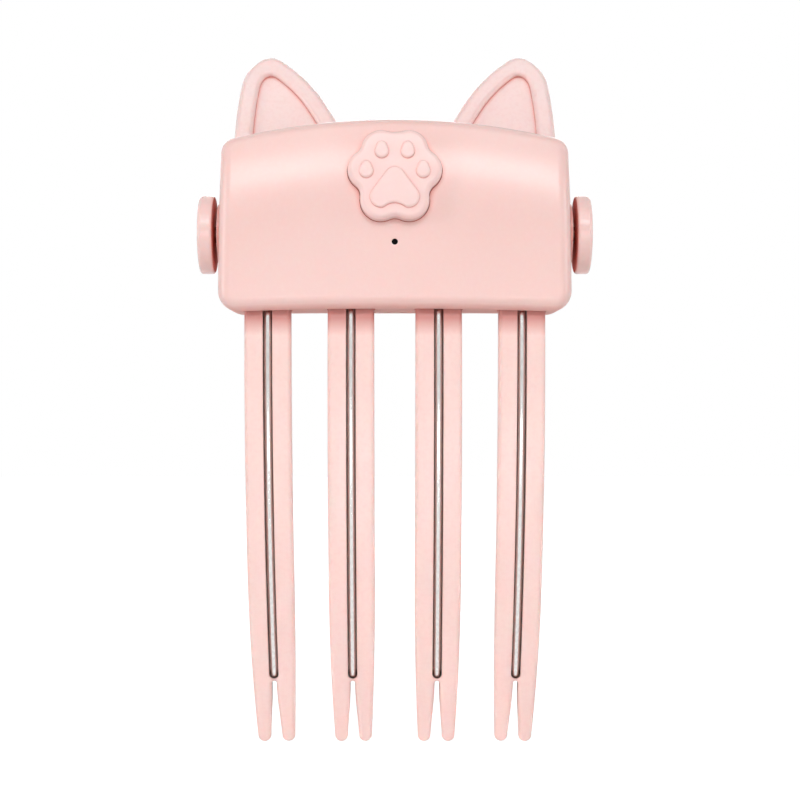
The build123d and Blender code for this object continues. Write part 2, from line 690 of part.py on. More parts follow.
def make_back_cover():
    outline = housing_outline(WALL + COVER_GAP)
    cover = front_prism(outline, COVER_FRONT_Y, REAR_Y)
    cover = chamfer(cover.faces().sort_by(Axis.Y)[-1].edges(), EDGE_BREAK)
    inside = housing_block(WALL + BAY_FRONT_GAP) & front_prism(outline)
    bay_front = FRONT_Y + WALL + BAY_FRONT_GAP
    for side in (-1, 1):
        cover += front_prism(bay_sketch(side, BAY_WALL), bay_front, COVER_FRONT_Y + ROOT) & inside
        cover -= front_prism(bay_sketch(side), bay_front - OVER, REAR_Y + OVER)
        cover -= rod_x(side * (BAY_INNER_X - BAY_WALL - OVER), side * (BAY_INNER_X + OVER),
                       AXLE_R + RUNNING_GAP)
    return single(add_cover_details(cover))


def add_cover_details(cover):
    """Screw posts, counterbores, the battery shelf and the holes."""
    shelf_top = BATTERY_BOTTOM_Z - BATTERY_GAP
    half = BATTERY_W / 2 - CORNER_R
    cover += box((-half, half), (BOARD_REAR_Y + BATTERY_GAP + SHELF_GAP, COVER_FRONT_Y + END_GAP),
                 (shelf_top - SHELF_T, shelf_top))
    for side in (-1, 1):
        cover += rod_y(side * LOWER_SCREW_X, LOWER_SCREW_Z, BAR_REAR_Y, COVER_FRONT_Y + END_GAP,
                       LOWER_POST_R)
        for x, z, _ in screw_points(side):
            cover -= rod_y(x, z, BAR_REAR_Y - OVER, REAR_Y + OVER, SCREW_R + SEAT_GAP)
            cover -= rod_y(x, z, REAR_Y - SCREW_HEAD_T - SCREW_RECESS, REAR_Y + OVER,
                           SCREW_HEAD_R + END_GAP)
    return cover


def make_screw(x, z, head_y, hole_end_y):
    """Cross-head screw that points to the front; head_y is the underside of its head."""
    shank = rod_y(x, z, hole_end_y + END_GAP, head_y, SCREW_R)
    head = rod_y(x, z, head_y, head_y + SCREW_HEAD_T, SCREW_HEAD_R)
    head = fillet(head.faces().sort_by(Axis.Y)[-1].edges(), EDGE_BREAK)
    long = (-CROSS_HALF_L, CROSS_HALF_L)
    narrow = (-CROSS_HALF_W, CROSS_HALF_W)
    cross = box(long, narrow, narrow) + box(narrow, narrow, long)
    return single(shank + head - Pos(x, head_y + SCREW_HEAD_T - CROSS_HALF_W + FINE, z) * cross)


def make_housing_screws():
    head_y = REAR_Y - SCREW_HEAD_T - SCREW_RECESS
    points = screw_points(-1) + screw_points(1)
    return Compound([make_screw(x, z, head_y, hole_end) for x, z, hole_end in points])


# Paw button and its switch

def toe_pad():
    """Egg-shaped toe, narrower at the top."""
    tip_r = TOE_W * TOE_TIP_SHARE
    low = Pos(0, -(TOE_H - TOE_W) / 2) * Circle(TOE_W / 2)
    high = Pos(0, TOE_H / 2 - tip_r) * Circle(tip_r)
    return make_hull((low + high).edges())


def main_pad():
    """Bell-shaped pad with two lobes and a dip between them."""
    lobe_x, lobe_y, lobe_r = MAIN_LOBE
    top_y, top_r = MAIN_TOP
    dip_y, dip_r = MAIN_DIP
    circles = Pos(0, top_y) * Circle(top_r)
    for side in (-1, 1):
        circles += Pos(side * lobe_x, lobe_y) * Circle(lobe_r)
    bell = make_hull(circles.edges()) - Pos(0, dip_y) * Circle(dip_r)
    sharp = [v for v in bell.vertices() if v.Y < lobe_y - lobe_r / 2 and abs(v.X) < lobe_x - FINE]
    return fillet(sharp, MAIN_DIP_R)


def make_paw_button():
    outward = Axis(PAW_PLANE.origin, PAW_PLANE.z_dir)
    cap = along_button(paw_outline(), FLANGE_TOP, PAW_PROUD)
    cap = fillet(cap.faces().sort_by(outward)[-1].edges(), PAW_EDGE_R)
    pads = [main_pad()]
    for x, y in TOE_PADS:
        pads.append(Pos(x, y) * toe_pad())
        pads.append(Pos(-x, y) * toe_pad())
    for pad in pads:
        relief = along_button(pad, PAW_PROUD - ROOT, PAW_PROUD + PAD_PROUD)
        cap += fillet(relief.faces().sort_by(outward)[-1].edges(), PAD_EDGE_R)
    flange = along_button(paw_outline(PAW_GAP + FLANGE_OVER), FLANGE_TOP - FLANGE_T, FLANGE_TOP)
    return single(cap + flange)


def make_switch_plunger():
    top = FLANGE_TOP - FLANGE_T
    plunger = along_button(Circle(PLUNGER_R), top - PLUNGER_L, top)
    end = plunger.faces().sort_by(Axis(PAW_PLANE.origin, PAW_PLANE.z_dir))[0].edges()
    return single(chamfer(end, PLUNGER_EDGE))


def make_tact_switch():
    sketch = RectangleRounded(SWITCH_SIDE, SWITCH_SIDE, SWITCH_CORNER_R)
    body = along_button(sketch, SMALL_BOARD_TOP, SWITCH_TOP)
    body -= along_button(Circle(PLUNGER_R + RUNNING_GAP), SMALL_BOARD_TOP + SWITCH_FLOOR, SWITCH_TOP + OVER)
    return single(body)


def make_switch_board():
    sketch = RectangleRounded(SMALL_BOARD_W, SMALL_BOARD_H, CORNER_R)
    for side in (-1, 1):
        sketch -= Pos(side * POST_X, 0) * Circle(POST_PIN_R + SEAT_GAP)
    return single(along_button(sketch, SMALL_BOARD_TOP - SMALL_BOARD_T, SMALL_BOARD_TOP))


# Electronics on the control board

def make_control_board():
    board = box((-BOARD_HALF_X, BOARD_HALF_X), (BOARD_FRONT_Y, BOARD_REAR_Y), (BOARD_BOTTOM_Z, BOARD_TOP_Z))
    board = fillet(board.edges().filter_by(Axis.Y), CORNER_R)
    for side in (-1, 1):
        board -= rod_y(side * UPPER_SCREW_X, UPPER_SCREW_Z, BOARD_FRONT_Y - OVER, BOARD_REAR_Y + OVER,
                       SCREW_BOSS_R + COVER_GAP)
    for x, thickness in ((CHIP_X, CHIP_T), (COIL_X, COIL_T)):
        board += Pos(x, BOARD_FRONT_Y - thickness / 2, CHIP_Z) * Box(CHIP_SIDE, thickness, CHIP_SIDE)
    return single(board)


def make_indicator_led():
    return Pos(0, BOARD_FRONT_Y - LED_T / 2, LED_Z) * Box(LED_W, LED_T, LED_H)


def make_light_pipe():
    wall_y = FRONT_Y + WALL
    nose = rod_y(0, LED_Z, FRONT_Y + PIPE_INSET, wall_y + ROOT, PIPE_R)
    body = rod_y(0, LED_Z, wall_y, BOARD_FRONT_Y - LED_T - END_GAP, PIPE_BODY_R)
    return single(nose + body)


def make_usb_socket():
    middle_y = BOARD_REAR_Y + USB_T / 2
    mouth_z = BODY_TOP_Z - USB_SUNK
    shell = extrude(slot_shape(USB_W, USB_T), amount=-USB_L)
    inner = slot_shape(USB_W - 2 * USB_SHELL, USB_T - 2 * USB_SHELL)
    shell -= Pos(0, 0, OVER) * extrude(inner, amount=USB_FLOOR - USB_L - OVER)
    tongue = Rectangle(USB_TONGUE_W, USB_TONGUE_T)
    shell += Pos(0, 0, -USB_TONGUE_SUNK) * extrude(tongue, amount=USB_TONGUE_SUNK + USB_FLOOR / 2 - USB_L)
    return Pos(0, middle_y, mouth_z) * single(shell)


def make_battery_cell():
    y0 = BOARD_REAR_Y + BATTERY_GAP
    cell = box((-BATTERY_W / 2, BATTERY_W / 2), (y0, y0 + BATTERY_T),
               (BATTERY_BOTTOM_Z, BATTERY_BOTTOM_Z + BATTERY_H))
    cell = fillet(cell.edges().filter_by(Axis.Z), BATTERY_CORNER_R)
    return single(fillet(cell.faces().sort_by(Axis.Z)[-1].edges(), BATTERY_EDGE_R))


def make_battery_leads():
    top = BATTERY_BOTTOM_Z + BATTERY_H
    bend_z = top + LEAD_RISE
    y = BOARD_REAR_Y + BATTERY_GAP + BATTERY_T / 2
    leads = []
    for inset in LEAD_INSETS:
        x = inset - BATTERY_W / 2
        path = FilletPolyline((x, y, top), (x, y, bend_z), (x, BOARD_REAR_Y, bend_z), radius=LEAD_BEND_R)
        leads.append(single(sweep(Pos(x, y, top) * Circle(LEAD_R), path=path)))
    return Compound(leads)


# Rear lever with the ears

LEAN = math.radians(LEVER_LEAN)
LEVER_PLANE = Plane(
    origin=(0, LEVER_FACE * math.cos(LEAN), HINGE_Z - LEVER_FACE * math.sin(LEAN)),
    x_dir=(-1, 0, 0),
    z_dir=(0, math.cos(LEAN), -math.sin(LEAN)),
)


def on_plate(v, behind=0.0):
    """Y and Z of the point at height v on the lever's face, or behind it."""
    origin = LEVER_PLANE.origin
    y = origin.Y + v * math.sin(LEAN) + behind * math.cos(LEAN)
    z = origin.Z + v * math.cos(LEAN) - behind * math.sin(LEAN)
    return y, z


def ear_edges():
    """Edge of the ear, from the plate's side over the apex to the root near the middle."""
    edges = []
    start = (LEVER_HALF_W, LEVER_TOP_V)
    tangent = (0, 1)
    for inward, v in EAR_ARCS:
        end = (LEVER_HALF_W - inward, v)
        arc = TangentArc(start, end, tangent=tangent)
        edges.append(arc.edge())
        start = end
        tangent = arc % 1
    return edges


def half_outline(middle_u, low_v):
    """One ear and the plate below it, from middle_u outwards, in the plate's own plane."""
    root_in, root_v = EAR_ARCS[-1]
    corners = (
        (LEVER_HALF_W - root_in, root_v), (middle_u, root_v), (middle_u, low_v), (LEVER_HALF_W, low_v),
        (LEVER_HALF_W, LEVER_TOP_V),
    )
    return make_face(ear_edges() + [Line(a, b).edge() for a, b in zip(corners, corners[1:])])


def lever_outline():
    """Half of the lever in the plate's own plane, from the middle outwards."""
    shape = half_outline(0, -LEVER_TOP_V)
    root_in = EAR_ARCS[-1][0]
    root = [v for v in shape.vertices() if abs(v.X - LEVER_HALF_W + root_in) < FINE]
    return fillet(root, EAR_ROOT_R)


def ear_panel():
    """Recessed inside of the ear, an even rim's width in from its edge, with a round apex."""
    root_u = LEVER_HALF_W - EAR_ARCS[-1][0]
    panel = offset(half_outline(root_u - EAR_RIM, 0), amount=-EAR_RIM - EAR_PANEL_R)
    panel = offset(panel, amount=EAR_PANEL_R)
    panel &= Pos(LEVER_HALF_W / 2, EAR_PANEL_BOTTOM_V + LEVER_TOP_V / 2) * Rectangle(
        LEVER_HALF_W, LEVER_TOP_V)
    low = [v for v in panel.vertices() if v.Y < EAR_PANEL_BOTTOM_V + FINE]
    return fillet(low, CORNER_R)


def lever_side_view():
    """Leaning plate, a bend at the hinge's height and the upright skirt."""
    top_v = max(v for _, v in EAR_ARCS) + 2 * OVER
    bend_z = on_plate(LEVER_BEND_V)[1] - LEVER_BEND_DROP
    view = Polygon(
        on_plate(top_v), on_plate(LEVER_BEND_V), (SKIRT_FACE_Y, bend_z), (SKIRT_FACE_Y, SKIRT_BOTTOM_Z),
        (COMB_FACE_Y, SKIRT_BOTTOM_Z), (COMB_FACE_Y, bend_z - LEVER_BEND_DROP / 2),
        on_plate(LEVER_BEND_V, LEVER_T), on_plate(top_v, LEVER_T), align=None,
    )
    bends = [v for v in view.vertices() if SKIRT_BOTTOM_Z + OVER < v.Y < HINGE_Z]
    return fillet(bends, LEVER_BEND_R)


def make_rear_lever():
    plate = side_prism(lever_side_view())
    half = plate & extrude(LEVER_PLANE.offset(-FAR) * lever_outline(), amount=2 * FAR)
    rims = [e for e in half.edges() if is_lever_edge(e)]
    half = fillet([e for e in rims if is_in_front(e)], LEVER_FRONT_R)
    half = fillet([e for e in half.edges() if is_lever_edge(e) and not is_in_front(e)], LEVER_REAR_R)
    panel = ear_panel()
    half -= extrude(LEVER_PLANE.offset(-OVER) * panel, amount=OVER + EAR_RECESS)
    outline = (LEVER_PLANE * panel).face().outer_wire()
    half = fillet([e for e in half.edges() if outline.distance_to(e @ 0.5) < FINE], EAR_RIM_R)
    lever = half + mirrored(half)
    for side in (-1, 1):
        lever += make_lug(side)
    for x in CLAMP_SCREW_X:
        lever -= rod_y(x, CLAMP_SCREW_Z, SKIRT_FACE_Y - OVER, COMB_FACE_Y + OVER, SCREW_R + SEAT_GAP)
    return single(lever)


def is_lever_edge(edge):
    """True for the edges round the lever's outline, on its front and its rear."""
    middle = edge @ 0.5
    bounds = edge.bounding_box()
    in_middle = bounds.max.X > -FINE and bounds.min.X < FINE and bounds.size.X < FINE
    through = edge.geom_type == GeomType.LINE and edge.length < LEVER_T + FINE and abs((edge % 0.5).Y) > 0.5
    bottom = middle.Z < SKIRT_BOTTOM_Z + FINE
    across_bend = abs(bounds.size.X - edge.length) < FINE and middle.Z < HINGE_Z
    return not (in_middle or through or bottom or across_bend)


def is_in_front(edge):
    """True for an edge on the front half of the lever's thickness."""
    middle = edge @ 0.5
    rise = max((middle.Z - LEVER_PLANE.origin.Z) / math.cos(LEAN), 0)
    return middle.Y < max(on_plate(rise)[0], SKIRT_FACE_Y) + LEVER_T / 2


def make_lug(side):
    """Plate from the lever forward to the axle, in the hinge bay."""
    low_z = HINGE_Z + LUG_LOW_DZ
    high_z = HINGE_Z + LUG_HIGH_DZ
    high_y = on_plate((high_z - LEVER_PLANE.origin.Z) / math.cos(LEAN))[0]
    eye = Pos(0, HINGE_Z) * Circle(LUG_R)
    arm = Polygon((0, HINGE_Z - LUG_R), (SKIRT_FACE_Y + ROOT, low_z - ROOT), (high_y + ROOT, high_z),
                  (LUG_TOP_Y, HINGE_Z + math.sqrt(LUG_R ** 2 - LUG_TOP_Y ** 2)), align=None)
    lug = side_prism(eye + arm, LUG_IN_X, LUG_OUT_X)
    if side < 0:
        lug = mirrored(lug)
    return lug - rod_x(side * (LUG_IN_X - OVER), side * (LUG_OUT_X + OVER), AXLE_R + SEAT_GAP)


def make_axle(side):
    start = side * (BAY_INNER_X - BAY_WALL - END_GAP)
    end = side * (KNOB_X + KNOB_T - KNOB_FLOOR - END_GAP)
    axle = rod_x(start, end, AXLE_R)
    return single(chamfer(axle.edges().filter_by(GeomType.CIRCLE), AXLE_EDGE))


def make_knob(side):
    """Round knob with a slightly domed face, in profile turned about the hinge axis."""
    x0 = KNOB_X
    x1 = KNOB_X + KNOB_T
    edge_x = x1 - KNOB_DOME
    profile = make_face([
        Line((x0, 0), (x0, KNOB_R)).edge(),
        Line((x0, KNOB_R), (edge_x, KNOB_R)).edge(),
        ThreePointArc((edge_x, KNOB_R), (x1 - KNOB_DOME / 4, KNOB_R / 2), (x1, 0)).edge(),
        Line((x1, 0), (x0, 0)).edge(),
    ])
    knob = revolve(profile, Axis.X, 360)
    rims = [e for e in knob.edges() if e.geom_type == GeomType.CIRCLE and e.length > 6 * KNOB_R]
    knob = Pos(0, 0, HINGE_Z) * fillet(rims, KNOB_EDGE_R)
    knob -= rod_x(x0 - OVER, x1 - KNOB_FLOOR, AXLE_R + SEAT_GAP)
    return single(knob if side > 0 else mirrored(knob))


# Press comb and pads

PAD_FRONT = moved_circle(TINE_REAR, PAD_JAW_GAP)
TOOTH_FRONT = moved_circle(TINE_REAR, PAD_JAW_GAP + PAD_T)
TOOTH_REAR = moved_circle(TINE_REAR, PAD_JAW_GAP + PAD_T + TOOTH_T)


def tooth_side_view():
    """Tooth that sweeps forward from the bar and then follows its tine."""
    root_z = COMB_BOTTOM_Z + ROOT
    bar_rear = COMB_FACE_Y + COMB_T
    join_front = (circle_y(TOOTH_FRONT, TOOTH_JOIN_Z), TOOTH_JOIN_Z)
    rear_z = TOOTH_JOIN_Z - TOOTH_T / 2
    join_rear = (circle_y(TOOTH_REAR, rear_z), rear_z)
    bend_front = Bezier((COMB_FACE_Y, root_z), (COMB_FACE_Y, root_z - TOOTH_PULL),
                        (join_front[0], TOOTH_JOIN_Z + TOOTH_PULL), join_front)
    bend_rear = Bezier(join_rear, (join_rear[0], rear_z + TOOTH_PULL),
                       (bar_rear, root_z - TOOTH_PULL), (bar_rear, root_z))
    end = TOOTH_END_Z
    return make_face([
        Line((bar_rear, root_z), (COMB_FACE_Y, root_z)).edge(),
        bend_front.edge(),
        arc_between(TOOTH_FRONT, TOOTH_JOIN_Z, end),
        Line((circle_y(TOOTH_FRONT, end), end), (circle_y(TOOTH_REAR, end), end)).edge(),
        arc_between(TOOTH_REAR, end, rear_z),
        bend_rear.edge(),
    ])


def is_across(edge, direction):
    """True for an edge that hardly runs along the given box direction."""
    return getattr(edge.bounding_box().size, direction) < FINE


def make_tooth():
    """Tooth in the middle, with a rounded end and rounded long edges."""
    tooth = side_prism(tooth_side_view(), -TOOTH_W / 2, TOOTH_W / 2)
    end = tooth.faces().sort_by(Axis.Z)[0]
    tooth = fillet([e for e in end.edges() if is_across(e, "X")], TOOTH_END_R)
    long = [
        e for e in tooth.edges()
        if e.bounding_box().size.X < TOOTH_W / 2 and e.bounding_box().size.Z > TOOTH_EDGE_R
    ]
    return fillet(long, TOOTH_EDGE_R)


def make_press_comb():
    rear_y = COMB_FACE_Y + COMB_T
    comb = box((-COMB_HALF_X, COMB_HALF_X), (COMB_FACE_Y, rear_y), (COMB_BOTTOM_Z, COMB_TOP_Z))
    comb = fillet(comb.edges().filter_by(Axis.Y), COMB_CORNER_R)
    comb = fillet(comb.faces().sort_by(Axis.Y)[-1].edges(), COMB_EDGE_R)
    tooth = make_tooth()
    for index in range(len(TINE_X)):
        comb += tine_place(index) * tooth
    for x in CLAMP_SCREW_X:
        comb -= rod_y(x, CLAMP_SCREW_Z, COMB_FACE_Y - OVER, rear_y + OVER, SCREW_R + SEAT_GAP)
        comb -= rod_y(x, CLAMP_SCREW_Z, rear_y - SCREW_HEAD_T - SCREW_RECESS, rear_y + OVER,
                      SCREW_HEAD_R + END_GAP)
    return single(comb)


def make_press_pad():
    """Pad in the middle, with rounded corners."""
    side = band(PAD_FRONT, TOOTH_FRONT, PAD_BOTTOM_Z, PAD_TOP_Z)
    pad = side_prism(side, -PAD_W / 2, PAD_W / 2)
    corners = [e for e in pad.edges() if is_across(e, "X") and is_across(e, "Z")]
    return single(fillet(corners, PAD_CORNER_R))


def make_clamp_screws():
    head_y = COMB_FACE_Y + COMB_T - SCREW_HEAD_T - SCREW_RECESS
    return Compound([make_screw(x, CLAMP_SCREW_Z, head_y, SKIRT_FACE_Y) for x in CLAMP_SCREW_X])


# Torsion springs

def tangent_angle(y, z, side):
    """Angle on the coil at which a straight leg to (y, z) leaves it."""
    return math.atan2(z, y) + side * math.acos(SPRING_MEAN_R / math.hypot(y, z))


def biarc(p0, t0, p1, t1):
    """Two arcs that leave p0 along t0, meet smoothly and reach p1 along t1."""
    gap = p1 - p0
    both = t0 + t1
    a = both.dot(both) - 4
    b = -2 * gap.dot(both)
    c = gap.dot(gap)
    reach = c / -b if abs(a) < 1e-9 else (-b - math.sqrt(b * b - 4 * a * c)) / (2 * a)
    if reach < 0:
        reach = (-b + math.sqrt(b * b - 4 * a * c)) / (2 * a)
    joint = (p0 + t0 * reach + p1 - t1 * reach) * 0.5
    first = TangentArc(p0, joint, tangent=t0)
    second = TangentArc(joint, p1, tangent=first % 1)
    return [first.edge(), second.edge()]


def spring_frame():
    """Foot, arm and the coil's stations: point and direction at every quarter turn."""
    foot = (SPRING_FOOT_Y, BAY_FLOOR_Z + SPRING_WIRE_R + SPRING_REST_GAP - HINGE_Z)
    arm = on_plate(SPRING_ARM_V, -SPRING_WIRE_R - SPRING_REST_GAP)
    arm = (arm[0], arm[1] - HINGE_Z)
    start = tangent_angle(*foot, 1)
    end = tangent_angle(*arm, -1) + 2 * math.pi * SPRING_TURNS
    while end - start > 2 * math.pi * (SPRING_TURNS + 0.5):
        end -= 2 * math.pi
    steps = 4 * SPRING_TURNS + 1
    rise = (SPRING_END_X - SPRING_START_X) / (end - start)
    stations = []
    for step in range(steps + 1):
        angle = start + (end - start) * step / steps
        point = Vector(SPRING_START_X + rise * (angle - start), SPRING_MEAN_R * math.cos(angle),
                       HINGE_Z + SPRING_MEAN_R * math.sin(angle))
        along = 0.0 if step in (0, steps) else rise
        tangent = Vector(along, -SPRING_MEAN_R * math.sin(angle), SPRING_MEAN_R * math.cos(angle))
        stations.append((point, tangent.normalized()))
    return foot, arm, stations


def spring_edges():
    foot, arm, stations = spring_frame()
    first = stations[0][0]
    last = stations[-1][0]
    edges = [Line((first.X, foot[0], HINGE_Z + foot[1]), first).edge()]
    for (p0, t0), (p1, t1) in zip(stations, stations[1:]):
        edges += biarc(p0, t0, p1, t1)
    edges.append(Line(last, (last.X, arm[0], HINGE_Z + arm[1])).edge())
    return edges


def least_self_gap(edges, step=0.2):
    """Smallest clear distance between two stretches of the wire that aren't neighbours."""
    points = []
    run = 0.0
    for edge in edges:
        count = max(2, int(edge.length / step))
        for i in range(count):
            points.append((run + edge.length * i / count, edge @ (i / count)))
        run += edge.length
    apart = math.pi * SPRING_MEAN_R
    least = min(
        (q - p).length
        for i, (s, p) in enumerate(points)
        for t, q in points[i + 1:]
        if t - s > apart
    )
    return least - 2 * SPRING_WIRE_R


def make_torsion_spring(side):
    edges = spring_edges()
    if side > 0:
        print(f"torsion spring: least gap to itself {least_self_gap(edges):.2f} mm")
    wire = Wire(edges)
    start = Plane(origin=wire @ 0, z_dir=wire % 0)
    spring = sweep(start * Circle(SPRING_WIRE_R), path=wire)
    return single(spring if side > 0 else mirrored(spring))


# Everything together

def build_nodes():
    nodes = {
        "front_shell": make_front_shell(),
        "back_cover": make_back_cover(),
        "fork_comb": make_fork_comb(),
        "rod_holder": make_rod_holder(),
        "heater_flex": make_heater_flex(),
        "control_board": make_control_board(),
        "switch_board": make_switch_board(),
        "tact_switch": make_tact_switch(),
        "indicator_led": make_indicator_led(),
        "light_pipe": make_light_pipe(),
        "usb_socket": make_usb_socket(),
        "battery_cell": make_battery_cell(),
        "battery_leads": make_battery_leads(),
        "housing_screws": make_housing_screws(),
        "paw_button": make_paw_button(),
        "switch_plunger": make_switch_plunger(),
        "rear_lever": make_rear_lever(),
        "press_comb": make_press_comb(),
        "clamp_screws": make_clamp_screws(),
    }
    rod = make_heating_rod()
    core = make_heater_core()
    pad = make_press_pad()
    for index in range(len(TINE_X)):
        nodes[f"heating_rod_{index + 1}"] = tine_place(index) * rod
        nodes[f"press_pad_{index + 1}"] = tine_place(index) * pad
    nodes["heater_cores"] = Compound([tine_place(index) * core for index in range(len(TINE_X))])
    for name, side in (("left", -1), ("right", 1)):
        nodes[f"hinge_bushing_{name}"] = make_bushing(side)
        nodes[f"hinge_axle_{name}"] = make_axle(side)
        nodes[f"hinge_knob_{name}"] = make_knob(side)
        nodes[f"torsion_spring_{name}"] = make_torsion_spring(side)
    return nodes


os.makedirs("parts", exist_ok=True)
for node_name, node_shape in build_nodes().items():
    export_step(node_shape, f"parts/{node_name}.step")
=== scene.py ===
"""Looks of the heated root volumizing clip: camera, light, materials and the two torsion springs.

Metres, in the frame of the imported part: +Z up, the front faces -Y. Where a comment says millimetres,
the value is multiplied by MM in use.
"""
import json
import math

import bmesh
import bpy
from mathutils import Matrix, Vector


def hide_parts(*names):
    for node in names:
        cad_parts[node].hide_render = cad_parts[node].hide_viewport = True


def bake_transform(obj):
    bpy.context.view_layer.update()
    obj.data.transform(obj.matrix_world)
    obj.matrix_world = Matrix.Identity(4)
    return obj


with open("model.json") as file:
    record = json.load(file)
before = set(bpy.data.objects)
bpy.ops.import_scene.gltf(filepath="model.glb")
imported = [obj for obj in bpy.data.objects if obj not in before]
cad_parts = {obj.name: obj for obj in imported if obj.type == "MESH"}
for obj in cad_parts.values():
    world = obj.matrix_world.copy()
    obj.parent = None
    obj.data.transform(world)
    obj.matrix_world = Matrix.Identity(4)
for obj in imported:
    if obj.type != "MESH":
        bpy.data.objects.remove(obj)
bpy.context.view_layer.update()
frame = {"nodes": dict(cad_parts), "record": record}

MM = 0.001
SCREEN_MAX = 255

# Camera: level, straight from the front, as far away as the photograph's perspective says
CAMERA_AT = (0.0, -0.340, 0.0648)
LENS = 82.0
SENSOR = 36.0
SHIFT_X = 0.0065
CLIP_START = 0.01

# Light: the sky's strength from above and from below, then each lamp's place, width and height,
# power in watts, the point it aims at and its spread in degrees
SKY_UP = 0.27
SKY_DOWN = 0.18
MIDDLE = (0, 0, 0.08)
WIDE = 180
LAMPS = {
    "key": ((-0.02, -0.67, 0.55), (0.55, 0.15), 2.2, MIDDLE, WIDE),
    "top": ((0.0, -0.48, 0.80), (0.60, 0.25), 0.76, MIDDLE, WIDE),
    "low": ((0.0, -0.80, 0.05), (0.50, 0.10), 0.78, (0, 0, 0.02), WIDE),
    "tips": ((0.0, -0.45, 0.015), (0.20, 0.02), 0.013, (0, 0, 0), 25),
    "left": ((-0.7, -0.27, 0.20), (0.10, 0.5), 1.6, MIDDLE, WIDE),
    "right": ((0.7, -0.27, 0.20), (0.2, 0.5), 1.1, MIDDLE, WIDE),
    "back": ((0.0, 0.75, 0.35), (0.6, 0.3), 1.6, MIDDLE, WIDE),
}

# Floor, just below the tips: what it reflects onto the object, and what the eye sees of it, which is
# a glow plus a darker grey that takes the shadow
FLOOR_Z = -0.0002
FLOOR_HALF = 1.2
FLOOR_GREY = 0.86
SEEN_GREY = 0.35
SEEN_GLOW = 0.95

# Hinge and springs, as in the part, in millimetres
HINGE_Z = 95.6
WIRE_R = 0.4
MEAN_R = 2.55
SPRING_X = (22.1, 26.15)
SPRING_TURNS = 3
SPRING_FOOT = (-6.5, -4.65)     # end of the leg on the bay's floor: Y, and Z from the hinge
SPRING_ARM = (10.28, 5.55)      # end of the leg on the lever
EASE = 0.15                     # share of the coil's pitch that eases in and out at its ends
LEG_STEPS = 8
TURN_STEPS = 40
WIRE_RING = 16                  # corners of the wire's section
WIRE_CAPS = ((0.35, 0.94), (0.75, 0.66))    # rounded end: way out and width, as shares of the radius
CAP_LENGTH = 0.6

# Colours, as seen on a screen
PINK = (250, 212, 207)
PINK_WARM = (248, 206, 199)
PINK_EDGE = (253, 224, 220)
# Painted shade: warm in creases, deeper in gaps between parts, near black in the tines' slots
CREASE_SHADE = (240, 152, 140)
GAP_SHADE = (232, 104, 80)
SLOT_SHADE = (24, 7, 4)
# Painted shadow of the housing on the tines' roots
ROOT_SHADOW = (200, 118, 110)
# Painted shade on the housing's faces that look down
UNDERSIDE_SHADE = (245, 194, 186)
# Painted shade on the knobs' inner faces, towards the housing
KNOB_INSIDE_SHADE = (128, 44, 32)

# Places where a look changes, in millimetres: heights over which the painted shadow of the housing fades
# out on the tines, and where the knobs' inner face, painted in dark shade, gives way to its rim
ROOT_HEIGHTS = (76.6, 79.8)
KNOB_RIM = (33.47, 33.63)

# Ranges of masks: stretches of a noise, cosines at an edge and of a face that looks down, and how
# open a crease or a gap is, from 0 to 1
NOISE_MIDDLE = (0.3, 0.7)
NOISE_MOST = (0.2, 0.8)
NOISE_PEAKS = (0.45, 0.75)
EDGE_COSINES = (0.90, 0.995)
DOWN_COSINES = (-0.95, -0.5)
CREASES = (0.45, 0.85)
GAPS = (0.12, 0.42)
SLOTS = (0.22, 0.60)
CREASE_SHARE = 0.8
ROOT_SHADOW_SHARE = 0.8
BEVEL_SAMPLES = 4
OCCLUSION_SAMPLES = 8

# Plastic: noises in features per metre, then depths, shares and shader values
PATCHES = 30
SPECKS = 1400
SMUDGES = 70
GRAIN = 2600
GRAIN_DEPTH = 0.006 * MM
GRAIN_STRENGTH = 0.6
SPECK_SHARE = 0.12
EDGE_SHARE = 0.4
SATIN = (0.215, 0.265)
PLASTIC_IOR = 1.46
PLASTIC_SPECULAR = 0.5
MATT_ROUGH = 0.6
MATT_SPECULAR = 0.1
SUBSURFACE_WEIGHT = 0.3
SUBSURFACE_SCALE = 0.8 * MM
SUBSURFACE_RADIUS = (1.0, 0.28, 0.20)

# Metal and coated pieces: width, share and added brightness of worn edges, then their grain
METAL_EDGE = 0.12 * MM
METAL_EDGE_SHARE = 0.35
METAL_BRIGHTER = 25
METAL_SMUDGES = 300
METAL_LINE_DEPTH = 0.003 * MM
COATED_EDGE = 0.15 * MM
COATED_EDGE_SHARE = 0.3
COATED_BRIGHTER = 30
COATED_SMUDGES = 2              # times the scale of the colour's noise
COATED_GRAIN = 8
COATED_GRAIN_DEPTH = 0.01 * MM
FINE_STRENGTH = 0.5


def linear(colour):
    """Screen colour as a linear RGBA colour."""
    parts = [c / SCREEN_MAX for c in colour]
    values = [p / 12.92 if p <= 0.04045 else ((p + 0.055) / 1.055) ** 2.4 for p in parts]
    return (*values, 1.0)


def brighter(colour, step):
    return tuple(min(SCREEN_MAX, c + step) for c in colour)


